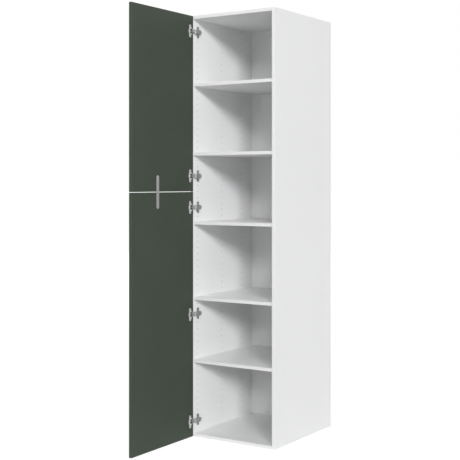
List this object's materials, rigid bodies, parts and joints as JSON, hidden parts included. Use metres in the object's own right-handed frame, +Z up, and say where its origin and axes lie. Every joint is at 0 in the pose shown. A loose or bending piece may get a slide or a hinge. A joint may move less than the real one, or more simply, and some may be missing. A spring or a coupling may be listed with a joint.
{
  "type": "tall shelf cabinet",
  "caption": "Tall white kitchen shelf cabinet with shelves at unequal heights and stacked flat doors, joined by a metal plate, that swing together on concealed cup hinges.",
  "frame": {"origin": "centre of the carcass base, on the floor", "axes": "+X to the cabinet's right seen from its front, +Y to its back, +Z up"},
  "size_m": [0.5, 1.0815, 2.144],
  "materials": {
    "white_board": "white melamine-faced chipboard, satin",
    "back_board": "white faced fibreboard, satin",
    "edge_band": "white edge band, satin",
    "door_lacquer": "dark green painted board, matt",
    "joining_plate_steel": "zinc-plated sheet, satin",
    "hinge_cup_steel": "nickel-plated pressed steel",
    "hinge_arm_steel": "nickel-plated pressed steel",
    "screw_steel": "zinc-plated steel",
    "cam_zinc": "die-cast zinc",
    "beech": "smooth beech, raw"
  },
  "bodies": {
    "cabinet": {"back_panel": "back_board", "bottom_edge_band": "edge_band", "bottom_panel": "white_board", "cam_bolts": "screw_steel", "cam_housings": "cam_zinc", "corner_dowels": "beech", "hinge_arm_1": "hinge_arm_steel", "hinge_arm_2": "hinge_arm_steel", "hinge_arm_3": "hinge_arm_steel", "hinge_arm_4": "hinge_arm_steel", "hinge_arm_5": "hinge_arm_steel", "hinge_depth_cams": "screw_steel", "hinge_side_screws": "screw_steel", "left_side_edge_band": "edge_band", "left_side_panel": "white_board", "mounting_plate_1": "hinge_arm_steel", "mounting_plate_2": "hinge_arm_steel", "mounting_plate_3": "hinge_arm_steel", "mounting_plate_4": "hinge_arm_steel", "mounting_plate_5": "hinge_arm_steel", "mounting_plate_screws": "screw_steel", "right_side_edge_band": "edge_band", "right_side_panel": "white_board", "shelf_1": "white_board", "shelf_2": "white_board", "shelf_3": "white_board", "shelf_4": "white_board", "shelf_5": "white_board", "shelf_edge_bands": "edge_band", "shelf_supports": "screw_steel", "top_edge_band": "edge_band", "top_panel": "white_board"},
    "door": {"upper_door": "door_lacquer", "lower_door": "door_lacquer", "door_joining_plate": "joining_plate_steel", "joining_plate_screws": "screw_steel", "hinge_cup_1": "hinge_cup_steel", "hinge_cup_2": "hinge_cup_steel", "hinge_cup_3": "hinge_cup_steel", "hinge_cup_4": "hinge_cup_steel", "hinge_cup_5": "hinge_cup_steel", "hinge_cup_screws": "screw_steel", "hinge_pins": "screw_steel"}
  },
  "joints": [
    {"name": "door_swing", "type": "hinge", "parent": "cabinet", "child": "door", "pos_m": [-0.2407, -0.3023, 0], "axis": [0, 0, -1], "range_deg": [-90, 5]}
  ]
}
